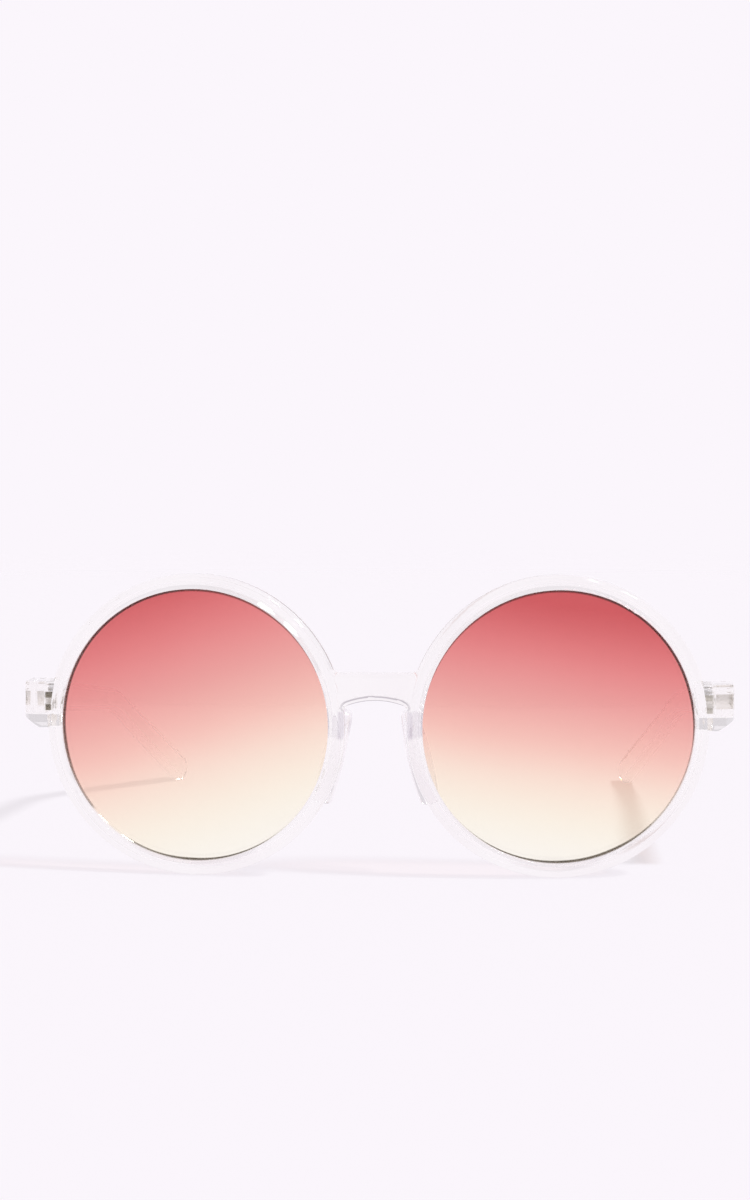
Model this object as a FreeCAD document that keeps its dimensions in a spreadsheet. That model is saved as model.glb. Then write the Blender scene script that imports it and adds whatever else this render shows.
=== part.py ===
import FreeCAD, Part
import math
import os

import Sketcher

# Oversized round sunglasses, in millimetres and degrees, standing on the rims and the temple tips.
# +Z is up, the front faces -Y, the temples run back along +Y, and the wearer's left is +X.
# The left half is modelled, and the right half is its mirror image.

SIZES = {
    # rims and lenses
    "lens_opening": 58.0,
    "bridge_gap": 19.5,
    "wrap_angle": 7.0,
    "rim_width": 3.2,
    "rim_depth": 4.4,
    "rim_round": 1.5,
    "rim_lip": 0.5,
    "groove_depth": 0.9,
    "groove_mouth": 2.1,
    "groove_floor": 0.3,
    "root_wall": 0.4,
    "lens_curve": 130.0,
    "lens_thickness": 2.0,
    "lens_clearance": 0.05,
    # bridge
    "bridge_rise": 5.75,
    "bridge_height": 5.95,
    "bridge_depth": 3.8,
    "bridge_round": 1.2,
    "bridge_blend": 2.4,
    "arch_curve": 17.0,
    "arch_corner": 1.6,
    "arch_inset": 0.25,
    # end lugs
    "front_width": 152.0,
    "lug_rise": 5.0,
    "lug_set": 0.4,
    "lug_back": 10.5,
    "lug_corner": 4.0,
    "lug_height": 7.6,
    "lug_flare": 2.2,
    "lug_flare_run": 3.6,
    "lug_round": 0.9,
    # hinges
    "hinge_rise": 4.5,
    "hinge_inset": 5.6,
    "hinge_set": 0.3,
    "knuckle_radius": 1.3,
    "knuckle_height": 1.3,
    "knuckle_gap": 0.05,
    "knuckle_clearance": 0.1,
    "leaf_clearance": 0.03,
    "leaf_base": 0.8,
    "prong_width": 2.2,
    "prong_length": 4.8,
    "barb_depth": 0.25,
    "plate_thickness": 1.1,
    "plate_height": 3.2,
    "plate_length": 10.0,
    "plate_setback": 0.5,
    "plate_neck": 3.0,
    # hinge screws
    "screw_radius": 0.65,
    "screw_clearance": 0.05,
    "screw_head_radius": 1.15,
    "screw_head_height": 0.6,
    "screw_head_round": 0.25,
    "screw_slot_width": 0.35,
    "screw_slot_depth": 0.3,
    "screw_point": 0.2,
    # temples
    "temple_gap": 0.1,
    "temple_thickness": 3.8,
    "temple_straight": 90.0,
    "temple_drop": 6.9,
    "bend_height": 5.4,
    "bend_thickness": 3.2,
    "bend_toe": 3.0,
    "bend_radius": 45.0,
    "toe_angle": 15.0,
    "toe_radius": 110.0,
    "tip_angle": 29.0,
    "tip_height": 6.6,
    "tip_round_share": 0.48,
    "temple_round": 1.1,
    # nose pads
    "pad_length": 22.5,
    "pad_depth": 8.0,
    "pad_thickness": 3.2,
    "pad_end_radius": 2.6,
    "pad_round": 1.4,
    "pad_angle": 14.5,
    "pad_splay": 20.0,
    "pad_stand": -2.4,
    "pad_back": 4.8,
    "pad_bond": 0.1,
    # how far a cut runs past the solid
    "overrun": 2.0,
}

# Places that follow from the sizes.
LAYOUT = {
    "open_radius": "dims.lens_opening / 2",
    "rim_radius": "open_radius + dims.rim_width",
    "groove_radius": "open_radius + dims.groove_depth",
    "root_radius": "groove_radius + dims.root_wall",
    "half_rim": "dims.rim_depth / 2",
    "half_width": "dims.front_width / 2",
    "lens_x": "dims.bridge_gap / 2 + open_radius * cos(dims.wrap_angle)",
    "lens_z": "rim_radius",
    "lens_radius": "open_radius - dims.lens_clearance",
    "lens_edge": "dims.groove_mouth / 2 - dims.lens_clearance",
    "lens_inner_curve": "dims.lens_curve - dims.lens_thickness",
    "lens_front": "-lens_edge - dims.lens_curve + sqrt(dims.lens_curve ^ 2 - lens_radius ^ 2)",
    "lens_back": "lens_edge - lens_inner_curve + sqrt(lens_inner_curve ^ 2 - lens_radius ^ 2)",
    # the temple's middle line, seen from the side
    "lug_z": "lens_z + dims.lug_rise",
    "bend_run": "dims.temple_straight * cos(dims.temple_drop)",
    "bend_z": "lug_z - dims.temple_straight * sin(dims.temple_drop)",
    "bend_slant": "(dims.temple_drop + dims.tip_angle) / 2",
    "tip_round": "dims.tip_round_share * dims.tip_height",
    "tip_flat": "dims.tip_height / 2 - tip_round",
    "tip_length": "(bend_z + tip_round * sin(dims.tip_angle) - tip_flat * cos(dims.tip_angle) - tip_round)"
    " / sin(dims.tip_angle)",
    "tip_run": "tip_length * cos(dims.tip_angle)",
    # the box from front to back is centred on the origin
    "front_reach": "(rim_radius - dims.rim_round) * sin(dims.wrap_angle)"
    " + (half_rim - dims.rim_round) * cos(dims.wrap_angle) + dims.rim_round",
    "tip_reach": "tip_round * (1 - cos(dims.tip_angle)) + tip_flat * sin(dims.tip_angle)",
    "back_reach": "dims.lug_back + dims.temple_gap + bend_run + tip_run + tip_reach",
    "lens_y": "(front_reach - back_reach) / 2",
    "butt_y": "lens_y + dims.lug_back",
    "temple_y": "butt_y + dims.temple_gap",
    "bend_y": "temple_y + bend_run",
    "tip_y": "bend_y + tip_run",
    "tip_z": "bend_z - tip_length * sin(dims.tip_angle)",
    "temple_inner_x": "half_width - dims.temple_thickness",
    # how far its two faces lean in before the bend, and where they end
    "outer_lean": "atan(dims.bend_toe / bend_run) / (1 deg)",
    "inner_lean": "atan((dims.bend_toe + dims.bend_thickness - dims.temple_thickness) / bend_run) / (1 deg)",
    "outer_bend_x": "half_width - dims.bend_toe",
    "inner_bend_x": "outer_bend_x - dims.bend_thickness",
    "tip_end": "tip_y + tip_reach + dims.overrun",
    "toe_in": "(tip_end - bend_y) * tan(dims.toe_angle)",
    # the hinge
    "hinge_x": "half_width - dims.hinge_inset",
    "hinge_y": "butt_y + dims.hinge_set",
    "hinge_z": "lens_z + dims.hinge_rise",
    "recess_y": "hinge_y - dims.knuckle_radius - dims.knuckle_clearance",
    "knuckle_step": "dims.knuckle_height + dims.knuckle_gap",
    "half_hinge": "knuckle_step + dims.knuckle_height / 2",
    "plate_y": "hinge_y + dims.plate_setback",
    "hole_radius": "dims.screw_radius + dims.screw_clearance",
    # the bridge, whose ends lie inside the rims, and the rims' circles as the front shows them
    "bridge_y": "lens_y - root_radius * sin(dims.wrap_angle)",
    "arch_top": "lens_z + dims.bridge_rise",
    "bridge_top": "arch_top + dims.bridge_height",
    "rim_outline": "rim_radius * cos(dims.wrap_angle) - dims.arch_inset",
    "root_outline": "root_radius * cos(dims.wrap_angle)",
    # its arch: a crown that runs into a corner on each side, then down along the rim
    "arch_x": "lens_x - rim_outline",
    "corner_reach": "dims.arch_curve - dims.arch_corner",
    "corner_x": "arch_x - dims.arch_corner",
    "corner_drop": "dims.arch_curve - sqrt(corner_reach ^ 2 - corner_x ^ 2)",
    "crown_share": "dims.arch_curve / corner_reach",
    "crown_x": "crown_share * corner_x",
    "crown_z": "arch_top - dims.arch_curve + crown_share * (dims.arch_curve - corner_drop)",
    # its flat top, which curves up into the rim
    "blend_z": "bridge_top + dims.bridge_blend",
    "blend_x": "lens_x - sqrt((rim_outline + dims.bridge_blend) ^ 2 - (blend_z - lens_z) ^ 2)",
    "blend_share": "rim_outline / (rim_outline + dims.bridge_blend)",
    "root_share": "root_outline / (rim_outline + dims.bridge_blend)",
    # the lug, whose root lies inside the rim
    "lug_low": "lug_z - dims.lug_height / 2",
    "lug_top": "lug_z + dims.lug_height / 2",
    "lug_root": "lens_x + sqrt(root_radius ^ 2 - (lug_top - lens_z) ^ 2) * cos(dims.wrap_angle)",
    "lug_front": "lens_y + root_radius * sin(dims.wrap_angle) - half_rim + dims.lug_set",
    "flare_low": "lug_low - dims.lug_flare",
    "flare_x": "half_width - dims.lug_flare_run",
    "flare_y": "lug_front + dims.lug_corner",
    # the nose pad's centre
    "pad_radius": "rim_radius + dims.pad_stand",
    "pad_nasal": "pad_radius * cos(dims.pad_angle)",
    # its oval outline: tangent arcs for the sides and the ends
    "pad_reach": "dims.pad_length / 2 - dims.pad_end_radius",
    "pad_half_depth": "dims.pad_depth / 2",
    "pad_side_curve": "(pad_half_depth ^ 2 + pad_reach ^ 2 - dims.pad_end_radius ^ 2)"
    " / (2 * (pad_half_depth - dims.pad_end_radius))",
    "pad_turn_share": "dims.pad_end_radius / (pad_side_curve - dims.pad_end_radius)",
    "pad_turn_y": "pad_turn_share * (pad_side_curve - pad_half_depth)",
    "pad_turn_z": "pad_reach * (1 + pad_turn_share)",
}

doc = FreeCAD.newDocument("sunglasses")


def fill_sheet(name, cells, sign):
    """Sheet with one named cell on each row."""
    sheet = doc.addObject("Spreadsheet::Sheet", name)
    for row, (alias, content) in enumerate(cells.items(), start=1):
        sheet.set(f"A{row}", alias)
        sheet.set(f"B{row}", f"{sign}{content}")
        sheet.setAlias(f"B{row}", alias)
    doc.recompute()
    return sheet


dims = fill_sheet("dims", SIZES, "")
layout = fill_sheet("layout", LAYOUT, "=")


def number(expression):
    """What an expression over the two sheets comes to."""
    return float(layout.evalExpression(expression))


def new_body(label):
    body = doc.addObject("PartDesign::Body", label)
    body.Label = label
    body.AllowCompound = True
    return body


def origin_part(body, role):
    """One of the body's own planes or axes."""
    return next(part for part in body.Origin.OriginFeatures if part.Role == role)


def new_sketch(body, name, role, shift=("0", "0", "0"), turn="0"):
    """Sketch on one of the body's own planes, shifted and turned in that plane."""
    sketch = body.newObject("Sketcher::SketchObject", name)
    sketch.AttachmentSupport = [(origin_part(body, role), "")]
    sketch.MapMode = "FlatFace"
    place = "vector({}; {}; {})".format(*shift)
    sketch.setExpression("AttachmentOffset", f"placement({place}; rotation(vector(0; 0; 1); {turn}))")
    return sketch


def pin_point(sketch, geometry, point, x, y):
    """Tie a point of the sketch to its place, measured from the sketch's origin."""
    for kind, axis, place in (("DistanceX", -2, x), ("DistanceY", -1, y)):
        if place == "0":
            sketch.addConstraint(Sketcher.Constraint("PointOnObject", geometry, point, axis))
            continue
        rule = Sketcher.Constraint(kind, -1, 1, geometry, point, number(place))
        sketch.setExpression(f"Constraints[{sketch.addConstraint(rule)}]", place)


def set_radius(sketch, geometry, radius):
    rule = Sketcher.Constraint("Radius", geometry, number(radius))
    sketch.setExpression(f"Constraints[{sketch.addConstraint(rule)}]", radius)


def arc_between(start, end, radius, turn):
    """Arc of under a half circle that bears left or right on its way from start to end."""
    chord = end - start
    side = FreeCAD.Vector(-chord.y, chord.x, 0).normalize()
    if turn == "right":
        side = -side
    rise = math.sqrt(max(radius ** 2 - chord.Length ** 2 / 4, 0))
    middle = (start + end) / 2
    return Part.Arc(start, middle + side * (rise - radius), end)


def draw_outline(sketch, corners):
    """Closed outline. A corner with a radius and a turn is reached by an arc, the others by a line."""
    places = [FreeCAD.Vector(number(corner[0]), number(corner[1]), 0) for corner in corners]
    tails, heads = [], []
    for index, corner in enumerate(corners):
        start, end = places[index - 1], places[index]
        if len(corner) == 2:
            line = sketch.addGeometry(Part.LineSegment(start, end), False)
            tails.append((line, 1))
            heads.append((line, 2))
            continue
        radius, turn = corner[2:]
        arc = sketch.addGeometry(arc_between(start, end, number(radius), turn), False)
        backward = turn == "right"
        tails.append((arc, 2 if backward else 1))
        heads.append((arc, 1 if backward else 2))
    for index, corner in enumerate(corners):
        sketch.addConstraint(Sketcher.Constraint("Coincident", *heads[index - 1], *tails[index]))
    for index, corner in enumerate(corners):
        pin_point(sketch, *heads[index], corner[0], corner[1])
        if len(corner) > 2:
            set_radius(sketch, heads[index][0], corner[2])


def draw_circle(sketch, x, y, radius):
    centre = FreeCAD.Vector(number(x), number(y), 0)
    circle = sketch.addGeometry(Part.Circle(centre, FreeCAD.Vector(0, 0, 1), number(radius)), False)
    pin_point(sketch, circle, 3, x, y)
    set_radius(sketch, circle, radius)


def rectangle(x_low, y_low, x_high, y_high):
    return [(x_low, y_low), (x_high, y_low), (x_high, y_high), (x_low, y_high)]


def add_pad(body, name, sketch, length, symmetric=False):
    pad = body.newObject("PartDesign::Pad", name)
    pad.Profile = sketch
    pad.SideType = "Symmetric" if symmetric else "One side"
    pad.setExpression("Length", length)
    doc.recompute()
    return pad


def cut_pocket(body, name, sketch, depth=None, reverse=False):
    """Pocket of a depth, or right through on both sides of the sketch. It must remove something."""
    before = body.Shape.Volume
    pocket = body.newObject("PartDesign::Pocket", name)
    pocket.Profile = sketch
    pocket.Reversed = reverse
    if depth is None:
        pocket.SideType = "Symmetric"
        pocket.Type = "ThroughAll"
    else:
        pocket.setExpression("Length", depth)
    doc.recompute()
    if not body.Shape.Volume < before:
        raise RuntimeError(f"{name} cuts nothing")
    return pocket


def add_turned(body, name, sketch):
    turned = body.newObject("PartDesign::Revolution", name)
    turned.Profile = sketch
    turned.ReferenceAxis = (sketch, ["V_Axis"])
    doc.recompute()
    return turned


def cut_turned(body, name, sketch):
    """Groove all the way round. It must remove something."""
    before = body.Shape.Volume
    groove = body.newObject("PartDesign::Groove", name)
    groove.Profile = sketch
    groove.ReferenceAxis = (sketch, ["V_Axis"])
    doc.recompute()
    if not body.Shape.Volume < before:
        raise RuntimeError(f"{name} cuts nothing")
    return groove


def round_edges(body, name, radius, chosen):
    """Fillet the edges of the body that the test picks from each edge and its two faces' normals."""
    base = body.Tip
    shape = base.Shape
    names = []
    for index, edge in enumerate(shape.Edges, start=1):
        middle = edge.valueAt((edge.FirstParameter + edge.LastParameter) / 2)
        faces = shape.ancestorsOfType(edge, Part.Face)
        normals = [face.normalAt(*face.Surface.parameter(middle)) for face in faces]
        if chosen(edge, middle, normals):
            names.append(f"Edge{index}")
    if not names:
        raise RuntimeError(f"{name} finds no edge")
    fillet = body.newObject("PartDesign::Fillet", name)
    fillet.Base = (base, names)
    fillet.setExpression("Radius", radius)
    doc.recompute()
    return fillet


def runs_along(edge, axis):
    """Whether an edge is straight and parallel to an axis."""
    if not isinstance(edge.Curve, Part.Line):
        return False
    return abs(edge.Curve.Direction.dot(axis)) > math.cos(math.radians(1))


X_AXIS = FreeCAD.Vector(1, 0, 0)
Y_AXIS = FreeCAD.Vector(0, 1, 0)
LENS_PLACE = ("layout.lens_x", "layout.lens_y", "layout.lens_z")
BARB_COUNT = 3


def toward_blend(share):
    """A point that lies a share of the way from the rim's centre to that of the bridge's upper blend."""
    return (f"layout.lens_x + {share} * (layout.blend_x - layout.lens_x)",
            f"layout.lens_z + {share} * (layout.blend_z - layout.lens_z)")


def make_front_frame():
    """Clear moulded front: half of it, with bridge, lug, rim and hinge slots, then its mirror image."""
    body = new_body("front_frame")

    arch = new_sketch(body, "bridge_outline", "XZ_Plane", ("0", "0", "-layout.bridge_y"))
    draw_outline(arch, [
        ("0", "layout.arch_top"),
        ("layout.crown_x", "layout.crown_z", "dims.arch_curve", "right"),
        ("layout.arch_x", "layout.arch_top - layout.corner_drop", "dims.arch_corner", "right"),
        ("layout.arch_x", "layout.lens_z"),
        ("layout.lens_x - layout.root_outline", "layout.lens_z"),
        (*toward_blend("layout.root_share"), "layout.root_outline", "right"),
        toward_blend("layout.blend_share"),
        ("layout.blend_x", "layout.bridge_top", "dims.bridge_blend", "right"),
        ("0", "layout.bridge_top"),
    ])
    add_pad(body, "bridge", arch, "dims.bridge_depth", symmetric=True)

    def above_or_under(edge, middle, normals):
        across = sorted(abs(normal.y) for normal in normals)
        off = (middle.x - number("layout.lens_x"), middle.z - number("layout.lens_z"))
        return across[0] < 0.1 and across[1] > 0.9 and middle.x > number("dims.arch_inset") \
            and math.hypot(*off) > number("layout.root_outline + dims.arch_inset")

    round_edges(body, "bridge_edges", "dims.bridge_round", above_or_under)

    plan = new_sketch(body, "lug_plan", "XY_Plane", ("0", "0", "layout.flare_low"))
    draw_outline(plan, [
        ("layout.lug_root", "layout.lug_front"),
        ("layout.half_width - dims.lug_corner", "layout.lug_front"),
        ("layout.half_width", "layout.flare_y", "dims.lug_corner", "left"),
        ("layout.half_width", "layout.butt_y"),
        ("layout.temple_inner_x", "layout.butt_y"),
        ("layout.temple_inner_x", "layout.recess_y"),
        ("layout.lug_root", "layout.recess_y"),
    ])
    add_pad(body, "lug", plan, "dims.lug_height + dims.lug_flare")

    flare = new_sketch(body, "flare_front", "XZ_Plane")
    draw_outline(flare, [
        ("layout.flare_x", "layout.flare_low"),
        ("layout.flare_x", "layout.flare_low - dims.overrun"),
        ("layout.half_width + dims.overrun", "layout.flare_low - dims.overrun"),
        ("layout.half_width + dims.overrun", "layout.lug_low"),
        ("layout.half_width", "layout.lug_low"),
    ])
    cut_pocket(body, "lug_underside", flare)

    sweep = new_sketch(body, "flare_side", "YZ_Plane")
    draw_outline(sweep, [
        ("layout.flare_y", "layout.flare_low"),
        ("layout.flare_y", "layout.flare_low - dims.overrun"),
        ("layout.butt_y + dims.overrun", "layout.flare_low - dims.overrun"),
        ("layout.butt_y + dims.overrun", "layout.lug_low"),
        ("layout.recess_y", "layout.lug_low"),
    ])
    cut_pocket(body, "lug_sweep", sweep)

    def over_lug(edge, middle, normals):
        return middle.x > number("layout.lug_root") and middle.y < number("layout.butt_y - dims.lug_round") \
            and any(normal.z > 0.9 for normal in normals) \
            and any(normal.x > 0.1 or normal.y < -0.1 for normal in normals)

    round_edges(body, "lug_edges", "dims.lug_round", over_lug)

    clear = new_sketch(body, "opening_section", "XY_Plane", LENS_PLACE, "dims.wrap_angle")
    draw_outline(clear, rectangle(
        "0", "-dims.rim_depth", "layout.root_radius", "dims.rim_depth + dims.lug_back"))
    cut_turned(body, "opening", clear)

    section = new_sketch(body, "rim_section", "XY_Plane", LENS_PLACE, "dims.wrap_angle")
    draw_outline(section, [
        ("layout.open_radius", "-dims.groove_mouth / 2"),
        ("layout.open_radius", "dims.rim_lip - layout.half_rim"),
        ("layout.open_radius + dims.rim_lip", "-layout.half_rim", "dims.rim_lip", "left"),
        ("layout.rim_radius - dims.rim_round", "-layout.half_rim"),
        ("layout.rim_radius", "dims.rim_round - layout.half_rim", "dims.rim_round", "left"),
        ("layout.rim_radius", "layout.half_rim - dims.rim_round"),
        ("layout.rim_radius - dims.rim_round", "layout.half_rim", "dims.rim_round", "left"),
        ("layout.open_radius + dims.rim_lip", "layout.half_rim"),
        ("layout.open_radius", "layout.half_rim - dims.rim_lip", "dims.rim_lip", "left"),
        ("layout.open_radius", "dims.groove_mouth / 2"),
        ("layout.groove_radius", "dims.groove_floor / 2"),
        ("layout.groove_radius", "-dims.groove_floor / 2"),
    ])
    add_turned(body, "rim", section)

    seat = new_sketch(body, "leaf_seat_outline", "XZ_Plane", ("0", "0", "-layout.recess_y"))
    draw_outline(seat, rectangle(
        "layout.hinge_x - dims.knuckle_radius - dims.leaf_clearance",
        "layout.hinge_z - layout.half_hinge - dims.leaf_clearance",
        "layout.hinge_x + dims.knuckle_radius + dims.leaf_clearance",
        "layout.hinge_z + layout.half_hinge + dims.leaf_clearance",
    ))
    cut_pocket(body, "leaf_seat", seat, "dims.leaf_base + dims.leaf_clearance", reverse=True)

    slots = new_sketch(body, "prong_slot_outlines", "XZ_Plane", ("0", "0", "-layout.recess_y"))
    for level in ("- layout.knuckle_step", "+ layout.knuckle_step"):
        draw_outline(slots, rectangle(
            "layout.hinge_x - dims.prong_width / 2 - dims.leaf_clearance",
            f"layout.hinge_z {level} - dims.knuckle_height / 2 - dims.leaf_clearance",
            "layout.hinge_x + dims.prong_width / 2 + dims.leaf_clearance",
            f"layout.hinge_z {level} + dims.knuckle_height / 2 + dims.leaf_clearance",
        ))
    depth = "dims.leaf_base + dims.prong_length + dims.leaf_clearance"
    cut_pocket(body, "prong_slots", slots, depth, reverse=True)

    whole = body.newObject("PartDesign::Mirrored", "both_halves")
    whole.TransformMode = "Whole shape"
    whole.MirrorPlane = (origin_part(body, "YZ_Plane"), [""])
    body.Tip = whole
    return body


def make_lens():
    """Curved lens with a bevelled edge that sits in the groove of its rim."""
    body = new_body("left_lens")
    section = new_sketch(body, "lens_section", "XY_Plane", LENS_PLACE, "dims.wrap_angle")
    draw_outline(section, [
        ("0", "layout.lens_front"),
        ("layout.lens_radius", "-layout.lens_edge", "dims.lens_curve", "left"),
        ("layout.groove_radius - dims.lens_clearance", "-dims.groove_floor / 2"),
        ("layout.groove_radius - dims.lens_clearance", "dims.groove_floor / 2"),
        ("layout.lens_radius", "layout.lens_edge"),
        ("0", "layout.lens_back", "layout.lens_inner_curve", "right"),
    ])
    add_turned(body, "lens", section)
    return body


def barbed_bar(start, neck, reach, half):
    """Outline of a bar about an axis, plain from start to neck, then barbed along the signed reach.

    Each corner is (place along the axis, offset across it).
    """
    side = [(start, half)]
    for barb in range(BARB_COUNT):
        side.append((f"{neck} + {reach} * {barb} / {BARB_COUNT}", half))
        side.append((f"{neck} + {reach} * {barb + 1} / {BARB_COUNT}", f"{half} - dims.barb_depth"))
    return side + [(along, f"-({across})") for along, across in reversed(side)]


def make_front_leaf():
    """Hinge half of the front: two knuckles on a base, and two barbed prongs sunk in the lug."""
    body = new_body("left_front_hinge_leaf")
    low = "layout.hinge_z - layout.half_hinge"

    base = new_sketch(body, "leaf_base_outline", "XY_Plane", ("0", "0", low))
    draw_outline(base, rectangle(
        "layout.hinge_x - dims.knuckle_radius", "layout.recess_y - dims.leaf_base",
        "layout.hinge_x + dims.knuckle_radius", "layout.recess_y",
    ))
    add_pad(body, "leaf_base", base, "2 * layout.half_hinge")

    ring = new_sketch(body, "front_knuckle_outline", "XY_Plane", ("0", "0", low))
    draw_circle(ring, "layout.hinge_x", "layout.hinge_y", "dims.knuckle_radius")
    knuckle = add_pad(body, "front_knuckle", ring, "dims.knuckle_height")

    bar = new_sketch(body, "prong_outline", "XY_Plane", ("0", "0", low))
    draw_outline(bar, [(f"layout.hinge_x + {across}", along) for along, across in barbed_bar(
        "layout.hinge_y", "layout.recess_y - dims.leaf_base", "-dims.prong_length", "dims.prong_width / 2")])
    prong = add_pad(body, "prong", bar, "dims.knuckle_height")

    pair = body.newObject("PartDesign::LinearPattern", "upper_and_lower")
    pair.Originals = [knuckle, prong]
    pair.Direction = (origin_part(body, "Z_Axis"), [""])
    pair.Occurrences = 2
    pair.setExpression("Length", "2 * layout.knuckle_step")
    body.Tip = pair
    doc.recompute()

    bore = new_sketch(body, "front_bore_outline", "XY_Plane", ("0", "0", "layout.hinge_z"))
    draw_circle(bore, "layout.hinge_x", "layout.hinge_y", "layout.hole_radius")
    cut_pocket(body, "front_bore", bore)
    return body


def make_temple_leaf():
    """Hinge half of the temple: one knuckle, and a barbed plate sunk in the temple's inner face."""
    body = new_body("left_temple_hinge_leaf")
    low = "layout.hinge_z - dims.knuckle_height / 2"
    start = "layout.plate_y"

    bar = new_sketch(body, "plate_outline", "YZ_Plane", ("0", "0", "layout.temple_inner_x"))
    draw_outline(bar, [(along, f"layout.hinge_z + {across}") for along, across in barbed_bar(
        start, f"{start} + dims.plate_neck", "(dims.plate_length - dims.plate_neck)", "dims.plate_height / 2")])
    add_pad(body, "plate", bar, "dims.plate_thickness")

    arm = new_sketch(body, "arm_outline", "XY_Plane", ("0", "0", low))
    draw_outline(arm, rectangle(
        "layout.hinge_x", start, "layout.temple_inner_x", "layout.hinge_y + dims.knuckle_radius"))
    add_pad(body, "arm", arm, "dims.knuckle_height")

    ring = new_sketch(body, "temple_knuckle_outline", "XY_Plane", ("0", "0", low))
    draw_circle(ring, "layout.hinge_x", "layout.hinge_y", "dims.knuckle_radius")
    add_pad(body, "temple_knuckle", ring, "dims.knuckle_height")

    bore = new_sketch(body, "temple_bore_outline", "XY_Plane", ("0", "0", "layout.hinge_z"))
    draw_circle(bore, "layout.hinge_x", "layout.hinge_y", "layout.hole_radius")
    cut_pocket(body, "temple_bore", bore)
    return body


def make_hinge_screw():
    """Slotted screw through the three knuckles."""
    body = new_body("left_hinge_screw")
    top = "(layout.half_hinge + dims.screw_head_height)"
    section = new_sketch(body, "screw_section", "XZ_Plane",
                         ("layout.hinge_x", "layout.hinge_z", "-layout.hinge_y"))
    draw_outline(section, [
        ("0", "-layout.half_hinge"),
        ("dims.screw_radius - dims.screw_point", "-layout.half_hinge"),
        ("dims.screw_radius", "dims.screw_point - layout.half_hinge"),
        ("dims.screw_radius", "layout.half_hinge"),
        ("dims.screw_head_radius", "layout.half_hinge"),
        ("dims.screw_head_radius", f"{top} - dims.screw_head_round"),
        ("dims.screw_head_radius - dims.screw_head_round", top, "dims.screw_head_round", "left"),
        ("0", top),
    ])
    add_turned(body, "screw", section)

    slot = new_sketch(body, "slot_outline", "XY_Plane", ("0", "0", f"layout.hinge_z + {top}"))
    reach = "dims.screw_head_radius + dims.overrun"
    draw_outline(slot, rectangle(
        f"layout.hinge_x - ({reach})", "layout.hinge_y - dims.screw_slot_width / 2",
        f"layout.hinge_x + {reach}", "layout.hinge_y + dims.screw_slot_width / 2",
    ))
    cut_pocket(body, "slot", slot, "dims.screw_slot_depth")
    return body


def toe_corner(x, lean):
    """The arc by which a face of the temple turns inwards at the bend."""
    run = f"dims.toe_radius * tan((dims.toe_angle - {lean}) / 2)"
    return [
        (f"{x} + {run} * sin({lean})", f"layout.bend_y - {run} * cos({lean})"),
        (f"{x} - {run} * sin(dims.toe_angle)", f"layout.bend_y + {run} * cos(dims.toe_angle)",
         "dims.toe_radius", "left"),
    ]


def make_temple():
    """Side arm: its outline from the side, trimmed to its plan, with a drop bend and a paddle tip."""
    body = new_body("left_temple")
    bend_up = "dims.bend_height / 2 * cos(layout.bend_slant)"
    bend_on = "dims.bend_height / 2 * sin(layout.bend_slant)"
    tip_up = "dims.tip_height / 2 * cos(dims.tip_angle)"
    tip_on = "dims.tip_height / 2 * sin(dims.tip_angle)"

    side = new_sketch(body, "temple_side", "YZ_Plane")
    draw_outline(side, [
        ("layout.temple_y", "layout.lug_top"),
        ("layout.temple_y", "layout.lug_low"),
        (f"layout.bend_y - {bend_on}", f"layout.bend_z - {bend_up}"),
        (f"layout.tip_y - {tip_on}", f"layout.tip_z - {tip_up}"),
        (f"layout.tip_y + {tip_on}", f"layout.tip_z + {tip_up}"),
        (f"layout.bend_y + {bend_on}", f"layout.bend_z + {bend_up}"),
    ])
    add_pad(body, "temple_blank", side, "layout.half_width")

    def at_bend(edge, middle, normals):
        return runs_along(edge, X_AXIS) and abs(middle.y - number("layout.bend_y")) < number("dims.bend_height")

    def at_tip(edge, middle, normals):
        return runs_along(edge, X_AXIS) and middle.y > number("layout.tip_y - dims.tip_height")

    round_edges(body, "drop_bend", "dims.bend_radius", at_bend)
    round_edges(body, "tip_ends", "layout.tip_round", at_tip)

    outside = new_sketch(body, "temple_outside", "XY_Plane")
    draw_outline(outside, [
        ("layout.half_width", "layout.temple_y"),
        *toe_corner("layout.outer_bend_x", "layout.outer_lean"),
        ("layout.outer_bend_x - layout.toe_in", "layout.tip_end"),
        ("layout.half_width + dims.overrun", "layout.tip_end"),
        ("layout.half_width + dims.overrun", "layout.temple_y"),
    ])
    cut_pocket(body, "outer_face", outside)

    inside = new_sketch(body, "temple_inside", "XY_Plane")
    draw_outline(inside, [
        ("layout.temple_inner_x", "layout.temple_y - dims.overrun"),
        ("layout.temple_inner_x", "layout.temple_y"),
        *toe_corner("layout.inner_bend_x", "layout.inner_lean"),
        ("layout.inner_bend_x - layout.toe_in", "layout.tip_end"),
        ("-dims.overrun", "layout.tip_end"),
        ("-dims.overrun", "layout.temple_y - dims.overrun"),
    ])
    cut_pocket(body, "inner_face", inside)

    def along_temple(edge, middle, normals):
        across = sorted(abs(normal.x) for normal in normals)
        return across[0] < 0.1 and across[1] > 0.9 and middle.y > number("layout.temple_y + dims.temple_gap")

    round_edges(body, "temple_edges", "dims.temple_round", along_temple)

    seat = new_sketch(body, "plate_seat_outline", "YZ_Plane",
                      ("0", "0", "layout.temple_inner_x + dims.plate_thickness + dims.leaf_clearance"))
    draw_outline(seat, rectangle(
        "layout.plate_y - dims.leaf_clearance",
        "layout.hinge_z - dims.plate_height / 2 - dims.leaf_clearance",
        "layout.plate_y + dims.plate_length + dims.leaf_clearance",
        "layout.hinge_z + dims.plate_height / 2 + dims.leaf_clearance",
    ))
    cut_pocket(body, "plate_seat", seat, "dims.plate_thickness + dims.overrun")
    return body


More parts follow.
